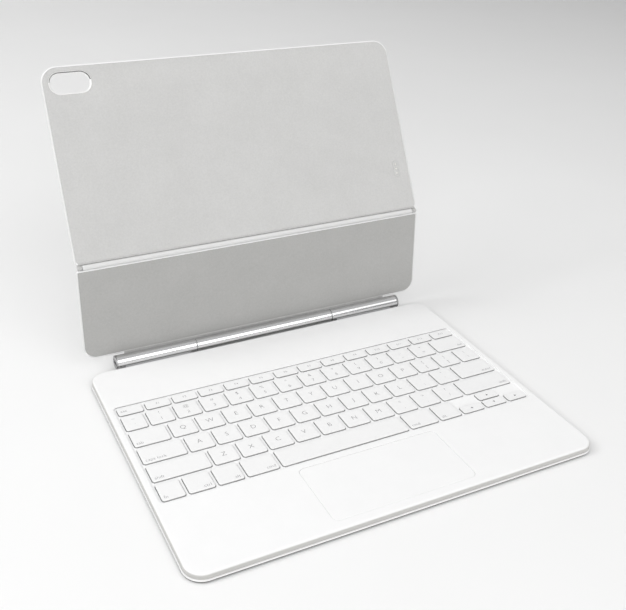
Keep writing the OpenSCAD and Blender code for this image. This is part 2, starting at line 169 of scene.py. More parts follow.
def plan(low, high, radius, steps):
    """Rounded rectangle seen from above, between two corners of a box."""
    return rectangle(low.x, high.x, low.y, high.y, radius, radius, steps)


def circle(x, y, radius, steps):
    """Outline of a circle, as a function of how far it is drawn in."""

    def outline(inset=0.0):
        turns = [2 * math.pi * i / steps for i in range(steps)]
        r = radius - inset
        return [(x + r * math.cos(t), y + r * math.sin(t)) for t in turns]

    return outline


def flat_up(u, v, height):
    return Vector((u, v, height))


def flat_back(u, v, height):
    return Vector((u, height, v))


def band(mesh_data, outline, profile, lift):
    """Rings of vertices at each (inset, height) of the profile, joined by quads."""
    rings = []
    for inset, height in profile:
        rings.append([mesh_data.verts.new(lift(u, v, height)) for u, v in outline(inset)])
    for ring, following in zip(rings, rings[1:]):
        count = len(ring)
        for i in range(count):
            j = (i + 1) % count
            mesh_data.faces.new((ring[i], ring[j], following[j], following[i]))
    return rings[0], rings[-1]


def cap(mesh_data, loops):
    """Flat face over the first loop, with the other loops left open as holes."""
    if len(loops) == 1:
        mesh_data.faces.new(loops[0])
        return
    vertices = [vertex for loop in loops for vertex in loop]
    flat = [[vertex.co for vertex in loop] for loop in loops]
    for triangle in tessellate_polygon(flat):
        if len(set(triangle)) == 3:
            mesh_data.faces.new([vertices[i] for i in triangle])


def plate(outline, profile, holes=(), lift=flat_up, mesh_data=None):
    """Closed solid from a profile swept round an outline, with holes through both caps.

    The profile runs from the solid's lower cap round its edge to its upper cap, and
    each hole's profile from the upper cap down to the lower one.
    """
    mesh_data = mesh_data or bmesh.new()
    first, last = band(mesh_data, outline, profile, lift)
    ends = [band(mesh_data, hole, way, lift) for hole, way in holes]
    cap(mesh_data, [last] + [upper for upper, _ in ends])
    cap(mesh_data, [first] + [lower for _, lower in ends])
    return mesh_data


def edge_round(height, radius, steps=4):
    """Profile of a rounded edge that climbs from the outline's side to height."""
    turns = [math.radians(90 * step / steps) for step in range(steps + 1)]
    return [(radius * (1 - math.cos(t)), height - radius * (1 - math.sin(t))) for t in turns]


def small_round(height, side=1):
    """Profile of a fine round between a face at height and the side; -1 for a hole's."""
    return [(side * share * FINE_R, height + side * drop * FINE_R) for share, drop in FINE_ROUND]


def revolve(profile, centre, closed=True):
    """Solid of revolution round the X axis through centre, from (x, radius) points."""
    mesh_data = bmesh.new()
    rings = []
    for x, radius in profile:
        ring = []
        for step in range(TURN_STEPS if radius > 0 else 1):
            angle = 2 * math.pi * step / TURN_STEPS
            offset = Vector((x, radius * math.cos(angle), radius * math.sin(angle)))
            ring.append(mesh_data.verts.new(Vector(centre) + offset))
        rings.append(ring)
    pairs = list(zip(rings, rings[1:]))
    if closed:
        pairs.append((rings[-1], rings[0]))
    for ring, following in pairs:
        for i in range(TURN_STEPS):
            j = (i + 1) % TURN_STEPS
            corners = [ring[i % len(ring)], ring[j % len(ring)]]
            corners += [following[j % len(following)], following[i % len(following)]]
            unique = list(dict.fromkeys(corners))
            if len(unique) > 2:
                mesh_data.faces.new(unique)
    return mesh_data


# ---- Materials ----


def principled(name, color, roughness, metallic=0.0):
    material = bpy.data.materials.new(name)
    material.use_nodes = True
    shader = material.node_tree.nodes["Principled BSDF"]
    shader.inputs["Base Color"].default_value = (*color, 1)
    shader.inputs["Roughness"].default_value = roughness
    shader.inputs["Metallic"].default_value = metallic
    return material, shader


def add_node(material, kind, **values):
    node = material.node_tree.nodes.new(kind)
    for key, value in values.items():
        if key in node.inputs:
            node.inputs[key].default_value = value
        else:
            setattr(node, key, value)
    return node


def join(material, source, output, target, socket):
    material.node_tree.links.new(source.outputs[output], target.inputs[socket])


def surface_noise(material, size, stretch=(1, 1, 1), detail=3.0):
    """Noise whose blotches are about size across, as a (node, output) term."""
    place = add_node(material, "ShaderNodeTexCoord")
    scale = add_node(material, "ShaderNodeMapping")
    scale.inputs["Scale"].default_value = stretch
    noise = add_node(material, "ShaderNodeTexNoise", Scale=1 / size, Detail=detail, Roughness=0.6)
    join(material, place, "Object", scale, "Vector")
    join(material, scale, "Vector", noise, "Vector")
    return noise, "Fac"


def tint(material, shader, term, low, high, reach=0.2):
    """Base colour that drifts between two shades with a (node, output) term."""
    ramp = add_node(material, "ShaderNodeValToRGB")
    for element, shade, way in zip(ramp.color_ramp.elements, (low, high), (-1, 1)):
        element.position = 0.5 + way * reach
        element.color = (*shade, 1)
    join(material, *term, ramp, "Fac")
    join(material, ramp, "Color", shader, "Base Color")


def roughen(material, shader, term, low, high):
    """Roughness that drifts between two values with a (node, output) term."""
    spread = add_node(material, "ShaderNodeMapRange")
    spread.inputs["To Min"].default_value = low
    spread.inputs["To Max"].default_value = high
    join(material, *term, spread, "Value")
    join(material, spread, "Result", shader, "Roughness")


def emboss(material, shader, term, depth, strength=1.0):
    """Bump of a given depth from a (node, output) term."""
    bump = add_node(material, "ShaderNodeBump", Strength=strength, Distance=depth)
    join(material, *term, bump, "Height")
    join(material, bump, "Normal", shader, "Normal")


def satin_white(name, color, roughness, grain, depth):
    """Painted or moulded white surface with a fine grain."""
    material, shader = principled(name, color, roughness)
    darker = [c - 0.015 for c in color]
    tint(material, shader, surface_noise(material, 18 * MM), darker, color)
    roughen(material, shader, surface_noise(material, 6 * MM), roughness - 0.04, roughness + 0.06)
    emboss(material, shader, surface_noise(material, grain, detail=2), depth)
    return material


def add_math(material, operation, first, second):
    """Arithmetic node; each term is a number or a (node, output) pair."""
    node = add_node(material, "ShaderNodeMath", operation=operation)
    for socket, term in enumerate((first, second)):
        if isinstance(term, tuple):
            join(material, *term, node, socket)
        else:
            node.inputs[socket].default_value = term
    return node, "Value"


def fade(material, term, zero_at, one_at):
    """Smooth step from 0 to 1 between two values of a term."""
    low, high = sorted((zero_at, one_at))
    step = add_node(material, "ShaderNodeMapRange", interpolation_type="SMOOTHSTEP")
    step.inputs["From Min"].default_value = low
    step.inputs["From Max"].default_value = high
    step.inputs["To Min"].default_value = float(zero_at > one_at)
    step.inputs["To Max"].default_value = float(zero_at < one_at)
    join(material, *term, step, "Value")
    return step, "Result"


def local_axes(material, of="Object"):
    """Position or normal in the axes of the piece, as X, Y and Z outputs."""
    place = add_node(material, "ShaderNodeTexCoord")
    split = add_node(material, "ShaderNodeSeparateXYZ")
    join(material, place, of, split, "Vector")
    return split


def repaint(material, share, color):
    """Mixes another colour into the base colour where share is 1."""
    shader = material.node_tree.nodes["Principled BSDF"]
    painted = shader.inputs["Base Color"].links[0].from_node
    mix = add_node(material, "ShaderNodeMixRGB")
    mix.inputs["Color2"].default_value = (*color, 1)
    join(material, *share, mix, "Fac")
    join(material, painted, "Color", mix, "Color1")
    join(material, mix, "Color", shader, "Base Color")


def deck_material():
    """White top, with painted shade: the outer side and the openings' rear walls are greyer tones
    that stand in for their shade.
    """
    material = satin_white("deck_white", (0.91, 0.91, 0.91), 0.42, 0.25 * MM, 0.006 * MM)
    split = local_axes(material)
    beyond = [
        add_math(material, "GREATER_THAN", add_math(material, "ABSOLUTE", (split, axis), 0), reach)
        for axis, reach in zip("XY", SIDE_SHADE_MASK)
    ]
    outside = add_math(material, "MAXIMUM", *beyond)
    below = fade(material, (split, "Z"), SIDE_SHADE_FADE[1], SIDE_SHADE_FADE[0])
    # Painted shade: the outer side below the top edge turns grey
    repaint(material, add_math(material, "MULTIPLY", outside, below), (0.49, 0.485, 0.47))
    inside = add_math(material, "SUBTRACT", 1, outside)
    forward = fade(material, (local_axes(material, "Normal"), "Y"), -0.5, -0.9)
    wall = fade(material, (split, "Z"), WALL_SHADE_FADE[1], WALL_SHADE_FADE[0])
    rear = add_math(material, "MULTIPLY", forward, wall)
    # Painted shade: the openings' rear walls, facing the front, turn grey
    repaint(material, add_math(material, "MULTIPLY", inside, rear), (0.48, 0.48, 0.48))
    return material


def base_skin_material():
    """White skin with a near-black strip of painted shade round the underside's curve."""
    material = skin_material()
    split = local_axes(material)
    under = fade(material, (split, "Z"), 1.4 * MM, 1.2 * MM)
    over = fade(material, (split, "Z"), 0.03 * MM, 0.12 * MM)
    # Painted shade: near-black between these heights, where the underside curves in under the lip
    repaint(material, add_math(material, "MULTIPLY", under, over), (0.045, 0.042, 0.038))
    return material


def cover_skin_material():
    """The covers' white, with a greyer tone of painted shade on the rims at both sides."""
    material = skin_material()
    beside = add_math(material, "ABSOLUTE", (local_axes(material), "X"), 0)
    # Painted shade: the side rims turn grey
    repaint(material, fade(material, beside, *RIM_SHADE_FADE), (0.7, 0.7, 0.695))
    return material


def key_material():
    """White caps whose sides below the top edge carry a mid grey of painted shade."""
    material = satin_white("key_white", (0.87, 0.87, 0.87), 0.5, 0.3 * MM, 0.012 * MM)
    below = fade(material, (local_axes(material), "Z"), CAP_TOP - 0.14 * MM, CAP_TOP - 0.3 * MM)
    # Painted shade: the caps' sides below the top edge turn mid grey
    repaint(material, below, (0.38, 0.38, 0.38))
    return material


def skin_material():
    """White polyurethane with a pebbled grain and slight handling marks."""
    material, shader = principled("skin_white", (0.82, 0.82, 0.82), 0.5)
    shader.inputs["Specular IOR Level"].default_value = 0.4
    marks = surface_noise(material, 25 * MM, detail=5)
    tint(material, shader, marks, (0.805, 0.805, 0.805), (0.83, 0.83, 0.83))
    roughen(material, shader, surface_noise(material, 9 * MM), 0.42, 0.6)
    place = add_node(material, "ShaderNodeTexCoord")
    pebbles = add_node(material, "ShaderNodeTexVoronoi", Scale=1 / (0.55 * MM))
    pebbles.feature = "SMOOTH_F1"
    join(material, place, "Object", pebbles, "Vector")
    emboss(material, shader, (pebbles, "Distance"), 0.05 * MM, 0.6)
    return material


def lining_material(name, dark, light):
    """Microfibre: a soft nap with short fibres, brushed patches and a faint sheen."""
    material, shader = principled(name, light, 0.92)
    shader.inputs["Sheen Weight"].default_value = 0.25
    shader.inputs["Sheen Roughness"].default_value = 0.6
    shader.inputs["Specular IOR Level"].default_value = 0.2
    patches = surface_noise(material, 30 * MM, detail=4)
    fibres = surface_noise(material, 1.3 * MM, detail=6)
    scaled = [
        add_math(material, "MULTIPLY", term, share)
        for term, share in ((patches, 0.35), (fibres, 0.65))
    ]
    tint(material, shader, add_math(material, "ADD", *scaled), dark, light, reach=0.15)
    emboss(material, shader, surface_noise(material, 0.6 * MM, detail=5), 0.12 * MM, 0.7)
    return material


def metal(name, color, roughness, depth=0.004 * MM):
    """Metal with fine brush lines that run round the X axis."""
    material, shader = principled(name, color, roughness, 1.0)
    lines = surface_noise(material, 6 * MM, stretch=(40, 1, 1), detail=4)
    darker = [c * 0.94 for c in color]
    tint(material, shader, lines, darker, color)
    roughen(material, shader, surface_noise(material, 12 * MM), roughness - 0.03, roughness + 0.06)
    emboss(material, shader, lines, depth, 0.5)
    return material


def plain(name, color, roughness, metallic=0.0, size=2 * MM):
    """Simple moulded or plated part, with a slight unevenness."""
    material, shader = principled(name, color, roughness, metallic)
    darker = [c * 0.88 for c in color]
    tint(material, shader, surface_noise(material, size), darker, color)
    emboss(material, shader, surface_noise(material, 0.4 * MM), 0.01 * MM, 0.4)
    return material


# The deck's outer side, painted grey as shade, lies beyond these distances from the middle, below
# these heights
SIDE_SHADE_MASK = (138.5 * MM, 92 * MM)
SIDE_SHADE_FADE = (4.6 * MM, 5.6 * MM)
# The rear walls of its openings turn grey with painted shade between these heights
WALL_SHADE_FADE = (5.2 * MM, 5.45 * MM)
# The covers' side rims, painted grey as shade, lie beyond these distances from the middle
RIM_SHADE_FADE = (137.9 * MM, 138.2 * MM)
CAP_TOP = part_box("space_bar")[1].z

SKIN = cover_skin_material()
BASE_SKIN = base_skin_material()
DECK = deck_material()
KEY = key_material()
WEB = satin_white("web_white", (0.91, 0.91, 0.91), 0.6, 0.3 * MM, 0.01 * MM)
PAD = satin_white("trackpad_white", (0.91, 0.91, 0.91), 0.32, 0.2 * MM, 0.003 * MM)
RING = satin_white("ring_white", (0.93, 0.93, 0.92), 0.4, 0.3 * MM, 0.006 * MM)
# The two linings' greys differ partly in their own colour and partly as painted shade, the lower,
# more upright one darker
UPPER_CLOTH = lining_material("upper_microfibre", (0.525, 0.523, 0.515), (0.587, 0.585, 0.577))
LOWER_CLOTH = lining_material("lower_microfibre", (0.38, 0.378, 0.368), (0.43, 0.428, 0.418))
BARREL = metal("barrel_metal", (0.7, 0.7, 0.705), 0.14, 0.001 * MM)
BEAD = satin_white("bead_white", (0.68, 0.68, 0.675), 0.35, 0.3 * MM, 0.004 * MM)
STEEL = metal("steel", (0.62, 0.62, 0.63), 0.38)
LEGEND = plain("legend_grey", (0.2, 0.2, 0.205), 0.6)
CONTACT = plain("contact_plating", (0.8, 0.79, 0.76), 0.35, 1.0, 0.8 * MM)
CONTACT_BASE = plain("contact_base", (0.6, 0.6, 0.59), 0.6)
FLAP = plain("hinge_flap_grey", (0.55, 0.548, 0.54), 0.7)
EDGE_TAPE = plain("edge_tape_grey", (0.52, 0.518, 0.51), 0.7)
LUG = plain("lug_grey", (0.5, 0.5, 0.49), 0.5)
# Near-black painted shade for the top of the camera cut-out
CAMERA_SHADE = plain("camera_shade_grey", (0.14, 0.14, 0.14), 0.6)
BARREL_END = metal("barrel_end_metal", (0.4, 0.4, 0.405), 0.35)
PORT = plain("port_shell_dark", (0.05, 0.05, 0.05), 0.5)
TONGUE = plain("port_tongue", (0.02, 0.02, 0.02), 0.5)
BOARD = plain("circuit_board", (0.03, 0.12, 0.06), 0.4, size=5 * MM)
CABLE = plain("flat_cable", (0.5, 0.25, 0.08), 0.4)
DOME = plain("dome_rubber", (0.6, 0.6, 0.6), 0.8)
MAGNET = plain("magnet_nickel", (0.55, 0.55, 0.56), 0.3, 1.0)
CORE = plain("core_plate", (0.7, 0.7, 0.68), 0.6, size=8 * MM)
ALUMINIUM = metal("plate_aluminium", (0.8, 0.8, 0.81), 0.35)
SWITCH = plain("switch_plastic", (0.1, 0.1, 0.1), 0.5)


# ---- Base ----

skin_low, skin_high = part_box("base_skin")
deck_low, deck_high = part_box("deck")
web_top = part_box("key_web")[1].z
well_low, well_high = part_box("key_support")
glass_low, glass_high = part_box("trackpad_glass")

BASE_R = 12 * MM
PLATE_TOP = 1.3 * MM
WELL_R = 3.2 * MM
PAD_R = 4 * MM
PAD_GAP = 0.15 * MM
SKIN_T = 0.6 * MM
RIM_W = 1.2 * MM
DECK_INSET = 0.5 * MM
DECK_WALL = 2 * MM
DECK_ROUND = 1.6 * MM
WELL_ROUND = 0.35 * MM
PAD_ROUND = 0.12 * MM
BELLY = (2.0 * MM, 1.2 * MM)


def build_base_skin():
    """Flexible tray under the base; its lip wraps the deck's foot."""
    outline = plan(skin_low, skin_high, BASE_R, 12)
    top = skin_high.z
    foot = deck_low.x - skin_low.x
    profile = [(RIM_W + 0.4 * MM, SKIN_T), (RIM_W, SKIN_T), (RIM_W, PLATE_TOP), (foot, PLATE_TOP)]
    profile += [(foot, top - 0.05 * MM), (foot - 0.05 * MM, top), (0.22 * MM, top)]
    profile += [(0.06 * MM, top - 0.06 * MM), (0, top - 0.22 * MM)]
    for step in range(9):
        angle = math.radians(90 * step / 8)
        profile.append((BELLY[0] * (1 - math.cos(angle)), BELLY[1] * (1 - math.sin(angle))))
    profile.append((BELLY[0] + 0.5 * MM, 0))
    solid = plate(outline, profile)
    finished("base_skin_tray", solid, BASE, "base", BASE_SKIN, ["base_skin"])


def build_deck():
    """Top case: rounded side, recessed key well and trackpad opening."""
    outline = plan(deck_low, deck_high, BASE_R - DECK_INSET, 12)
    top, foot = deck_high.z, deck_low.z
    profile = [(DECK_WALL, web_top), (DECK_WALL, foot), (0.35 * MM, foot)]
    profile += [(0.1 * MM, foot + 0.15 * MM), (0, foot + 0.5 * MM)]
    profile += edge_round(top, DECK_ROUND, steps=7)
    profile += [(DECK_ROUND + 0.5 * MM, top)]
    well = plan(well_low, well_high, WELL_R, 8)
    margin = Vector((PAD_GAP, PAD_GAP, 0))
    pad = plan(glass_low - margin, glass_high + margin, PAD_R + PAD_GAP, 8)
    ways = [(well, opening_edge(top, WELL_ROUND)), (pad, opening_edge(top, PAD_ROUND))]
    solid = plate(outline, profile, ways)
    finished("deck_case", solid, BASE, "base", DECK, ["deck"])


def opening_edge(top, r):
    """Profile of an opening in the deck: a small round at the top, then straight down."""
    edge = [(-r - 0.4 * MM, top), (-r, top), (-0.3 * r, top - 0.25 * r), (0, top - r)]
    return edge + [(0, web_top)]


def build_trackpad():
    top = glass_high.z
    profile = [(0.2 * MM, glass_low.z), (0, glass_low.z)]
    profile += edge_round(top, 0.2 * MM)
    profile += [(0.6 * MM, top)]
    solid = plate(plan(glass_low, glass_high, PAD_R, 8), profile)
    replaced = ["trackpad_glass"]
    finished("trackpad_surface", solid, BASE, "trackpad", PAD, replaced)


# ---- Keys ----

CAP_R = 1.5 * MM
CAP_WALL = 1.2 * MM
CAP_T = 0.8 * MM
CAP_ROUND = 0.35 * MM
DISH = 0.06 * MM
LETTER = 5.4 * MM
DIGIT = 4.2 * MM
WORD = 3.7 * MM
SMALL = 2.9 * MM
ARROW = 1.1 * MM
LEGEND_T = 0.01 * MM
LEGEND_LIFT = 0.02 * MM
LEGEND_SIDE = 1.9 * MM
LEGEND_ROW = 0.2          # how far from a cap's middle, in depths of the cap
LEGEND_THIN = 0.018       # how much a stroke is thinned, in sizes of the letter
TALL_CAP = 10 * MM

# Legends of each group of keys, in the order of its caps from left to right. A legend
# is text:place, and its place is centre, high, low, left, right or arrow.
LEGENDS = {
    "escape_key": [["esc:left"]],
    "function_keys": [[f"F{i}:centre"] for i in range(1, 14)],
    "number_keys": [
        [f"{upper}:high", f"{lower}:low"]
        for upper, lower in zip("~!@#$%^&*()_+", "`1234567890-=")
    ],
    "delete_key": [["del:right"]],
    "tab_key": [["tab:left"]],
    "upper_letter_keys": [[f"{c}:centre"] for c in "QWERTYUIOP"]
    + [["{:high", "[:low"], ["}:high", "]:low"], ["|:high", "\\:low"]],
    "caps_lock_key": [["caps lock:left"]],
    "home_letter_keys": [[f"{c}:centre"] for c in "ASDFGHJKL"]
    + [["::high", ";:low"], ['":high', "':low"]],
    "return_key": [["enter:right"]],
    "left_shift_key": [["shift:left"]],
    "lower_letter_keys": [[f"{c}:centre"] for c in "ZXCVBNM"]
    + [["<:high", ",:low"], [">:high", ".:low"], ["?:high", "/:low"]],
    "right_shift_key": [["shift:right"]],
    "left_modifier_keys": [["fn:left"], ["ctrl:right"], ["alt:right"], ["cmd:right"]],
    "space_bar": [[]],
    "right_modifier_keys": [["cmd:left"], ["alt:left"]],
    "side_arrow_keys": [["<:arrow"], [">:arrow"]],
    "updown_arrow_keys": [["v:arrow"], ["^:arrow"]],
}


def caps_of(node):
    """Boxes of the separate caps in a key node, from left to right."""
    mesh_data = bmesh.new()
    mesh_data.from_mesh(NODES[node].data)
    bmesh.ops.remove_doubles(mesh_data, verts=mesh_data.verts, dist=1e-6)
    boxes, seen = [], set()
    for vertex in mesh_data.verts:
        if vertex in seen:
            continue
        island, queue = [], [vertex]
        seen.add(vertex)
        while queue:
            current = queue.pop()
            island.append(current.co.copy())
            for edge in current.link_edges:
                other = edge.other_vert(current)
                if other not in seen:
                    seen.add(other)
                    queue.append(other)
        low = Vector(min(c[i] for c in island) for i in range(3))
        high = Vector(max(c[i] for c in island) for i in range(3))
        boxes.append((low, high))
    mesh_data.free()
    return sorted(boxes, key=lambda box: (round(box[0].x, 4), box[0].y))


def add_cap(mesh_data, low, high):
    """One hollow key cap with rounded edges and a slightly dished top."""
    top = high.z
    half = min(high.x - low.x, high.y - low.y) / 2
    profile = [(CAP_WALL, top - CAP_T), (CAP_WALL, low.z), (0, low.z)]
    profile += edge_round(top, CAP_ROUND)
    profile += [(0.25 * half, top - 0.5 * DISH), (0.5 * half, top - DISH)]
    plate(plan(low, high, CAP_R, 5), profile, mesh_data=mesh_data)


def text_mesh(text, size):
    """Mesh of a short text, centred on the origin."""
    curve = bpy.data.curves.new("legend", "FONT")
    curve.body = text
    curve.size = size
    curve.align_x, curve.align_y = "CENTER", "CENTER"
    curve.extrude = LEGEND_T
    curve.offset = -LEGEND_THIN * size
    curve.resolution_u = 3
    holder = bpy.data.objects.new("legend", curve)
    bpy.context.scene.collection.objects.link(holder)
    bpy.context.view_layer.update()
    mesh = bpy.data.meshes.new_from_object(
        holder.evaluated_get(bpy.context.evaluated_depsgraph_get())
    )
    bpy.data.objects.remove(holder)
    bpy.data.curves.remove(curve)
    return mesh


def arrow_mesh(kind, size):
    """Small flat triangle that points the way of an arrow key."""
    turn = {">": 0, "^": 90, "<": 180, "v": 270}[kind]
    corners = []
    for angle in (0, 130, 230):
        a = math.radians(turn + angle)
        corners.append((size * math.cos(a), size * math.sin(a), 0))
    mesh = bpy.data.meshes.new("arrow")
    mesh.from_pydata(corners, [], [(0, 1, 2)])
    return mesh


def add_legend(mesh_data, legend, low, high):
    """One legend, laid on the dished top of its cap."""
    text, place = legend.rsplit(":", 1)
    middle = (low + high) / 2
    width, depth = high.x - low.x, high.y - low.y
    if place == "arrow":
        mesh = arrow_mesh(text, ARROW)
    else:
        size = WORD
        if place == "centre":
            size = LETTER if len(text) == 1 else SMALL
        if place in ("high", "low"):
            size = DIGIT
        mesh = text_mesh(text, size)
    half = max(vertex.co.x for vertex in mesh.vertices)
    inward = LEGEND_SIDE + half
    across = {"left": low.x + inward, "right": high.x - inward}.get(place, middle.x)
    along = middle.y + {"high": LEGEND_ROW, "low": -LEGEND_ROW}.get(place, 0) * depth
    if place in ("left", "right") and depth > TALL_CAP:
        along = low.y + LEGEND_SIDE + 0.3 * WORD
    for vertex in mesh.vertices:
        x, y = across + vertex.co.x, along + vertex.co.y
        inset = min(x - low.x, high.x - x, y - low.y, high.y - y)
        share = min(max(inset / (0.25 * min(width, depth)), 0), 1)
        vertex.co = (x, y, high.z - DISH * share + LEGEND_LIFT + vertex.co.z)
    mesh_data.from_mesh(mesh)
    bpy.data.meshes.remove(mesh)


def build_keys():
    for node, legends in LEGENDS.items():
        caps = caps_of(node)
        bodies = bmesh.new()
        marks = bmesh.new()
        for (low, high), texts in zip(caps, legends):
            add_cap(bodies, low, high)
            for legend in texts:
                add_legend(marks, legend, low, high)
        finished(f"{node}_caps", bodies, BASE, node, KEY, [node], sharp=50)
        if len(marks.verts):
            finished(f"{node}_legends", marks, BASE, node, LEGEND)
        else:
            marks.free()


# ---- Hinge barrel ----

BARREL_WALL = 1 * MM
CHAMFER = 0.25 * MM
END_ROUND = 0.4 * MM
PORT_MOUTH = (8.4 * MM, 2.6 * MM)
PORT_R = 1.25 * MM


def build_tube(node, body):
    low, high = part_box(node)
    outer = (high.z - low.z) / 2
    inner = outer - BARREL_WALL
    rim = [
        (0, inner), (0, outer - CHAMFER), (0.3 * CHAMFER, outer - 0.3 * CHAMFER),
        (CHAMFER, outer), (3 * CHAMFER, outer),
    ]
    profile = [(low.x + x, radius) for x, radius in rim]
    profile += [(high.x - x, radius) for x, radius in reversed(rim)]
    centre = (0, HINGE.y, HINGE.z)
    finished(f"{node}_tube", revolve(profile, centre), BASE, body, BARREL, [node])


def build_end_caps():
    """Left cap with the charging port's mouth, and a plain right cap."""
    low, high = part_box("left_cap")
    outer = (high.z - low.z) / 2
    half_y, half_z = PORT_MOUTH[0] / 2, PORT_MOUTH[1] / 2
    mouth = rectangle(
        HINGE.y - half_y, HINGE.y + half_y, HINGE.z - half_z, HINGE.z + half_z, PORT_R, PORT_R, 6
    )
    disc = circle(HINGE.y, HINGE.z, outer, TURN_STEPS)
    thick = high.x - low.x
    # Heights run outwards, along -X
    profile = [(0.5 * MM, 0), (0, 0)] + edge_round(thick, END_ROUND) + [(0.7 * MM, thick)]
    way = [(-0.35 * MM, thick), (-0.12 * MM, thick - 0.04 * MM), (0, thick - 0.3 * MM), (0, 0)]

    def outwards(u, v, height):
        return Vector((high.x - height, u, v))

    solid = plate(disc, profile, [(mouth, way)], outwards)
    finished("left_cap_disc", solid, BASE, "base", BARREL_END, ["left_cap"])
    low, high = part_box("right_cap")
    profile = [(low.x, 0), (low.x, outer), (high.x - END_ROUND, outer)]
    profile += [(high.x - 0.3 * END_ROUND, outer - 0.3 * END_ROUND)]
    profile += [(high.x, outer - END_ROUND), (high.x, 0)]
    solid = revolve(profile, (0, HINGE.y, HINGE.z), closed=False)
    finished("right_cap_disc", solid, BASE, "base", BARREL_END, ["right_cap"])


# ---- Covers ----

EDGE = 0.7 * MM
RIM_R = 0.85 * MM
LOWER_R = 10 * MM
LOWER_TOP_R = 2 * MM
UPPER_BOTTOM_R = 3.5 * MM
UPPER_R = 12 * MM
FLAP_HALF = 110 * MM
TAPE_MARGIN = 2.2 * MM
STRIP_THICK = 0.6 * MM
STRIP_OVERLAP = 1.5 * MM
RING_WALL = 1.2 * MM
PIN_STEPS = 24


def cover_outline(node, place, near_r, far_r, steps=12):
    low, high = extents(node, place)
    return rectangle(low.x, high.x, low.z, high.z, near_r, far_r, steps), low, high


def tray_profile(inner, outer):
    """A cover's skin: floor at the outside, round rim up to the tablet's side (low y)."""
    floor = outer - SKIN_T
    profile = [(RIM_W + 0.5 * MM, floor), (RIM_W, floor), (RIM_W, inner + 0.2 * MM)]
    profile += [(RIM_W - 0.06 * MM, inner + 0.06 * MM), (RIM_W - 0.2 * MM, inner)]
    for step in range(7):
        angle = math.radians(90 * step / 6)
        profile.append((RIM_R * (1 - math.sin(angle)), inner + RIM_R * (1 - math.cos(angle))))
    return profile + edge_round(outer, EDGE, steps=5) + [(EDGE + 0.4 * MM, outer)]


def build_lower_skin():
    outline, low, high = cover_outline("lower_skin", LOWER, LOWER_R, LOWER_TOP_R)
    solid = plate(outline, tray_profile(low.y, high.y), lift=flat_back)
    finished("lower_cover_skin", solid, LOWER, "lower_cover", SKIN, ["lower_skin"])


def camera_outline():
    low, high = extents("camera_ring", UPPER)
    r = (high.z - low.z) / 2 - 0.3 * MM
    return cover_outline("camera_ring", UPPER, r, r)


def build_edge_strip(name, place, body, front, reach, across, material):
    """Thin strip over a cover's rim; reach is its range of z, across its half width."""
    outline = rectangle(-across, across, *reach, 0.5 * MM, 0.3 * MM, 4)
    back = front + STRIP_THICK
    profile = [(0.4 * MM, back), (0, back), *reversed(small_round(front)), (0.45 * MM, front)]
    finished(name, plate(outline, profile, lift=flat_back), place, body, material)


def build_edge_strips():
    """Flap that closes the gap above the barrel, and the tape along the bead."""
    low, _ = extents("lower_skin", LOWER)
    build_edge_strip(
        "hinge_flap", LOWER, "lower_cover", low.y - 0.08 * MM,
        (low.z - 1.0 * MM, low.z + STRIP_OVERLAP), FLAP_HALF, FLAP,
    )
    low, high = extents("upper_skin", UPPER)
    build_edge_strip(
        "fold_tape", UPPER, "upper_cover", low.y - 0.06 * MM,
        (low.z + 0.12 * MM, low.z + STRIP_OVERLAP), high.x - TAPE_MARGIN, EDGE_TAPE,
    )


def build_upper_skin():
    outline, low, high = cover_outline("upper_skin", UPPER, UPPER_BOTTOM_R, UPPER_R)
    hole, _, _ = camera_outline()
    floor = high.y - SKIN_T
    way = [(-0.1 * MM, high.y), (0, high.y - 0.1 * MM), (0, floor)]
    solid = plate(outline, tray_profile(low.y, high.y), [(hole, way)], flat_back)
    finished("upper_cover_skin", solid, UPPER, "upper_cover", SKIN, ["upper_skin"])


def lining_profile(inner, outer):
    """Thin sheet whose edge is pressed down into the rim."""
    return [
        (0.5 * MM, outer), (0.05 * MM, outer), (0.05 * MM, inner + 0.25 * MM),
        (0.15 * MM, inner + 0.1 * MM), (0.4 * MM, inner + 0.02 * MM), (0.8 * MM, inner),
        (1.6 * MM, inner),
    ]


def outline_area(points):
    pairs = zip(points, points[1:] + points[:1])
    return abs(sum(a[0] * b[1] - b[0] * a[1] for a, b in pairs)) / 2


def build_lining(node, place, near_r, far_r, body, cloth, holes=()):
    outline, low, high = cover_outline(node, place, near_r, far_r)
    way = [(-0.5 * MM, low.y), (-0.1 * MM, low.y + 0.05 * MM)]
    way += [(-0.03 * MM, low.y + 0.2 * MM), (-0.03 * MM, high.y)]
    ways = [(hole, way) for hole in holes]
    solid = plate(outline, lining_profile(low.y, high.y), ways, flat_back)
    piece = finished(f"{node}_cloth", solid, place, body, cloth, [node])
    area = outline_area(outline(0)) - sum(outline_area(hole(0)) for hole in holes)


def contact_outline():
    low, high = extents("contact_block", UPPER)
    r = (high.x - low.x) / 2 - 0.1 * MM
    return cover_outline("contact_block", UPPER, r, r, 8)


def build_camera_ring():
    outline, low, high = camera_outline()
    profile = small_round(low.y)
    profile += [(0, high.y - 0.2 * MM), (0.06 * MM, high.y - 0.06 * MM), (0.2 * MM, high.y)]

    def bore(inset=0.0):
        return outline(RING_WALL + inset)

    way = small_round(high.y, -1)
    way += [(0, low.y + 1.8 * MM), (-0.15 * MM, low.y + 1.3 * MM), (-0.8 * MM, low.y + 0.12 * MM)]
    way += [(-0.95 * MM, low.y)]
    solid = plate(outline, profile, [(bore, way)], flat_back)
    finished("camera_trim", solid, UPPER, "upper_cover", RING, ["camera_ring"])


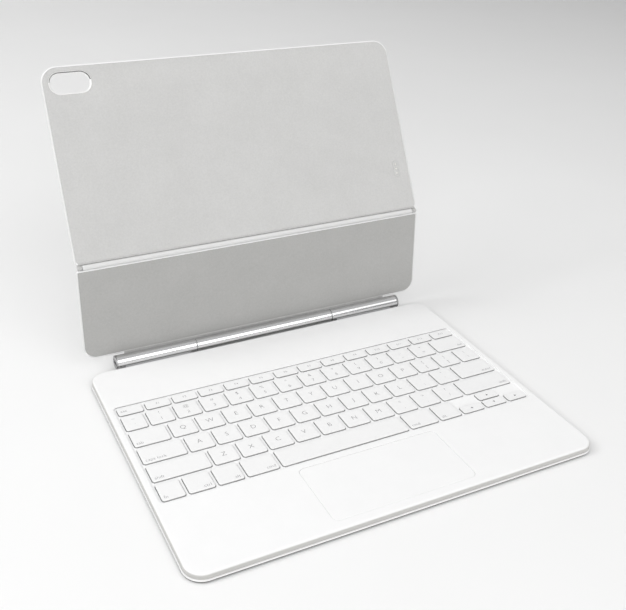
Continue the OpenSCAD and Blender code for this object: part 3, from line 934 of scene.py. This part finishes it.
def build_camera_shade_arch():
    """Dark arch of painted shade in the ring's slope, round the upper half of the cut-out, where
    its top wall falls in shadow.
    """
    outline, low, high = camera_outline()
    level = low.z + 0.55 * (high.z - low.z)
    arch = []
    for inset, way in ((0.28 * MM, 1), (0.8 * MM, -1)):
        edge = sorted((p for p in outline(inset) if p[1] > level), key=lambda p: -p[0] * way)
        arch.extend(edge)
    front, back = low.y + 0.04 * MM, low.y + 1.2 * MM
    solid = plate(lambda inset=0.0: arch, [(0, back), (0, front)], lift=flat_back)
    finished("camera_shade_arch", solid, UPPER, "upper_cover", CAMERA_SHADE)


def build_contacts():
    outline, low, high = contact_outline()
    pins_low, pins_high = extents("contact_pins", UPPER)
    radius = (pins_high.x - pins_low.x) / 2
    x = (pins_low.x + pins_high.x) / 2
    pitch = (pins_high.z - pins_low.z) / 2 - radius
    middle = (pins_low.z + pins_high.z) / 2
    levels = [middle - pitch, middle, middle + pitch]
    profile = [(0.3 * MM, high.y), (0, high.y), *reversed(small_round(low.y)), (0.5 * MM, low.y)]
    way = [(-0.15 * MM, low.y), (0, low.y + 0.15 * MM), (0, high.y)]
    ways = [(circle(x, z, radius + 0.06 * MM, PIN_STEPS), way) for z in levels]
    solid = plate(outline, profile, ways, flat_back)
    finished("contact_seat", solid, UPPER, "upper_cover", CONTACT_BASE, ["contact_block"])
    pins = bmesh.new()
    for z in levels:
        tip = pins_low.y
        profile = [(0, pins_high.y), (0, tip + 0.35 * MM), (0.12 * MM, tip + 0.14 * MM)]
        profile += [(0.4 * MM, tip + 0.03 * MM), (0.8 * MM, tip)]
        plate(circle(x, z, radius, PIN_STEPS), profile, lift=flat_back, mesh_data=pins)
    finished("contact_tips", pins, UPPER, "contacts", CONTACT, ["contact_pins"])


# ---- Fold ----

BEAD_R = 1.8 * MM
BEAD_FLAT = 1.1 * MM
BORE_R = 0.66 * MM


def build_bead():
    """Round bead with a flat back and domed ends, bored for the fold's pin."""
    low, high = extents("fold_bead", UPPER)
    half = (high.x - low.x) / 2
    steps = 48
    turns = [2 * math.pi * step / steps for step in range(steps)]
    mesh_data = bmesh.new()
    sections = [(-half, 0.55), (-half + 0.25 * MM, 0.86), (-half + 0.8 * MM, 1.0)]
    sections.append((-half + 1.6 * MM, 1.0))
    sections += [(-x, share) for x, share in reversed(sections)]
    rings = []
    for x, share in sections:
        ring = []
        for t in turns:
            y, z = BEAD_R * share * math.cos(t), BEAD_R * share * math.sin(t)
            ring.append(mesh_data.verts.new((x, min(y, BEAD_FLAT), z)))
        rings.append(ring)
    bores = [
        [mesh_data.verts.new((x, BORE_R * math.cos(t), BORE_R * math.sin(t))) for t in turns]
        for x in (-half, half)
    ]
    loops = [bores[0]] + rings + [bores[1]]
    for ring, following in zip(loops, loops[1:] + loops[:1]):
        for i in range(steps):
            j = (i + 1) % steps
            mesh_data.faces.new((ring[i], ring[j], following[j], following[i]))
    finished("fold_bead_bar", mesh_data, CREASE, "lower_cover", BEAD, ["fold_bead"])


STRIP_REACH = 2.6 * MM
STRIP_T = 0.5 * MM
STRIP_ROWS = 12


def build_fold_strip():
    """Flexible crease of the outer skin, drawn bent at the fold's opening angle."""
    _, high = extents("upper_skin", UPPER)
    outer = high.y - 0.12 * MM
    half = high.x - 3 * MM
    bend = UPPER_LEAN - LOWER_LEAN
    mesh_data = bmesh.new()
    columns = []
    for y in (outer, outer - STRIP_T):
        rows = []
        for row in range(STRIP_ROWS + 1):
            share = row / STRIP_ROWS
            s = STRIP_REACH * (2 * share - 1)
            turn = bend * (share * share * (3 - 2 * share))
            across = y * math.cos(turn) + s * math.sin(turn)
            up = s * math.cos(turn) - y * math.sin(turn)
            rows.append([mesh_data.verts.new((x, across, up)) for x in (-half, 0, half)])
        columns.append(rows)
    outside, inside = columns
    for row in range(STRIP_ROWS):
        up = row + 1
        for i in range(2):
            for rows in columns:
                mesh_data.faces.new((rows[row][i], rows[row][i + 1], rows[up][i + 1], rows[up][i]))
        for i in (0, 2):
            mesh_data.faces.new((outside[row][i], outside[up][i], inside[up][i], inside[row][i]))
    for row in (0, STRIP_ROWS):
        for i in range(2):
            corners = outside[row][i], outside[row][i + 1], inside[row][i + 1], inside[row][i]
            mesh_data.faces.new(corners)
    piece = finished("fold_crease", mesh_data, CREASE, None, SKIN, ["fold_strip"])
    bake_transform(piece)


# ---- CAD nodes that keep their own shape ----

CAD_LOOKS = {
    "base_plate": ALUMINIUM, "key_web": WEB, "key_support": STEEL, "dome_sheet": DOME,
    "scissor_frames": WEB, "trackpad_switch": SWITCH, "trackpad_springs": STEEL,
    "trackpad_plate": STEEL, "logic_board": BOARD, "base_cables": CABLE, "lower_cable": CABLE,
    "upper_cable": CABLE, "base_magnets": MAGNET, "cover_magnets": MAGNET,
    "hinge_brackets": ALUMINIUM, "hinge_screws": STEEL, "friction_clutches": STEEL,
    "shaft_plugs": STEEL, "hinge_shafts": STEEL, "hinge_leaf": ALUMINIUM, "port_shell": PORT,
    "port_tongue": TONGUE, "lower_core": CORE, "upper_core": CORE, "fold_pin": STEEL,
    "fold_lugs": LUG,
}


def dress_cad_nodes():
    for node, material in CAD_LOOKS.items():
        data = NODES[node].data
        data.materials.clear()
        data.materials.append(material)


# ---- Stage ----

SKY = (0.3, 0.72)
FLOOR_X = 6
FLOOR_Y = (-5, 2.2)
SWEEP_R = 1.2
SWEEP_STEPS = 16
BACKDROP_TOP = 4

# Name, place, target, size and power of each light
LIGHTS = (
    ("front_panel", (-0.3, -2.0, 1.3), (-0.3, 0.05, 0.05), (3.1, 2.0), 33),
    ("right_panel", (1.8, -1.8, 1.7), (1.8, 0.05, 0.05), (1.1, 1.2), 4.5),
    ("side_softbox", (-1.3, 0.3, 1.2), (0, 0.05, 0.05), (1.2, 1.2), 8.5),
    ("backdrop_light", (-2.4, 0.8, 1.6), (-1.6, 1.5, 0.0), (1.0, 1.0), 21),
)


def add_area(name, at, target, size, power):
    data = bpy.data.lights.new(name, "AREA")
    data.shape = "RECTANGLE"
    data.size, data.size_y = size
    data.energy = power
    light = bpy.data.objects.new(name, data)
    light.location = at
    light.rotation_euler = (Vector(target) - Vector(at)).to_track_quat("-Z", "Y").to_euler()
    bpy.context.scene.collection.objects.link(light)


def add_sky():
    """Soft light that is strongest overhead and fades to a dim horizon."""
    world = bpy.data.worlds.new("studio")
    world.use_nodes = True
    tree = world.node_tree
    place = tree.nodes.new("ShaderNodeTexCoord")
    split = tree.nodes.new("ShaderNodeSeparateXYZ")
    ramp = tree.nodes.new("ShaderNodeMapRange")
    ramp.inputs["To Min"].default_value = SKY[0]
    ramp.inputs["To Max"].default_value = SKY[1]
    tree.links.new(place.outputs["Generated"], split.inputs["Vector"])
    tree.links.new(split.outputs["Z"], ramp.inputs["Value"])
    background = tree.nodes["Background"]
    background.inputs["Color"].default_value = (1, 1, 1, 1)
    tree.links.new(ramp.outputs["Result"], background.inputs["Strength"])
    bpy.context.scene.world = world


def add_stage():
    """Pale floor that curves up into a backdrop, with painted shade that darkens it towards +X,
    and soft studio light.
    """
    material, shader = principled("floor_white", (0.87, 0.87, 0.868), 0.6)
    tint(material, shader, surface_noise(material, 0.4), (0.86, 0.86, 0.858), (0.88, 0.88, 0.878))
    # Painted shade: the floor darkens towards +X, as if the light falls off to that side
    repaint(material, fade(material, (local_axes(material), "X"), 0.1, 2.2), (0.66, 0.66, 0.66))
    mesh_data = bmesh.new()
    front, back = FLOOR_Y
    path = [(front, 0.0), (back, 0.0)]
    for step in range(1, SWEEP_STEPS + 1):
        angle = math.radians(90 * step / SWEEP_STEPS)
        path.append((back + SWEEP_R * math.sin(angle), SWEEP_R * (1 - math.cos(angle))))
    path.append((back + SWEEP_R, BACKDROP_TOP))
    rows = [[mesh_data.verts.new((x, y, z)) for x in (-FLOOR_X, FLOOR_X)] for y, z in path]
    for row, following in zip(rows, rows[1:]):
        mesh_data.faces.new((row[0], row[1], following[1], following[0]))
    floor = finished("floor", mesh_data, BASE, None, material)
    add_sky()
    for light in LIGHTS:
        add_area(*light)
    bpy.context.scene.view_settings.view_transform = "Standard"
    bpy.context.scene.view_settings.look = "None"


add_camera()
dress_cad_nodes()
build_base_skin()
build_deck()
build_trackpad()
build_keys()
for tube, tube_body in (
    ("barrel_left", "base"), ("barrel_right", "base"), ("barrel_centre", "lower_cover")
):
    build_tube(tube, tube_body)
build_end_caps()
build_lower_skin()
build_edge_strips()
build_upper_skin()
build_lining(
    "lower_lining", LOWER, LOWER_R - RIM_W, LOWER_TOP_R - RIM_W / 2, "lower_cover", LOWER_CLOTH,
)
build_lining(
    "upper_lining", UPPER, UPPER_BOTTOM_R - RIM_W, UPPER_R - RIM_W, "upper_cover", UPPER_CLOTH,
    [camera_outline()[0], contact_outline()[0]],
)
build_camera_ring()
build_camera_shade_arch()
build_contacts()
build_bead()
build_fold_strip()
add_stage()
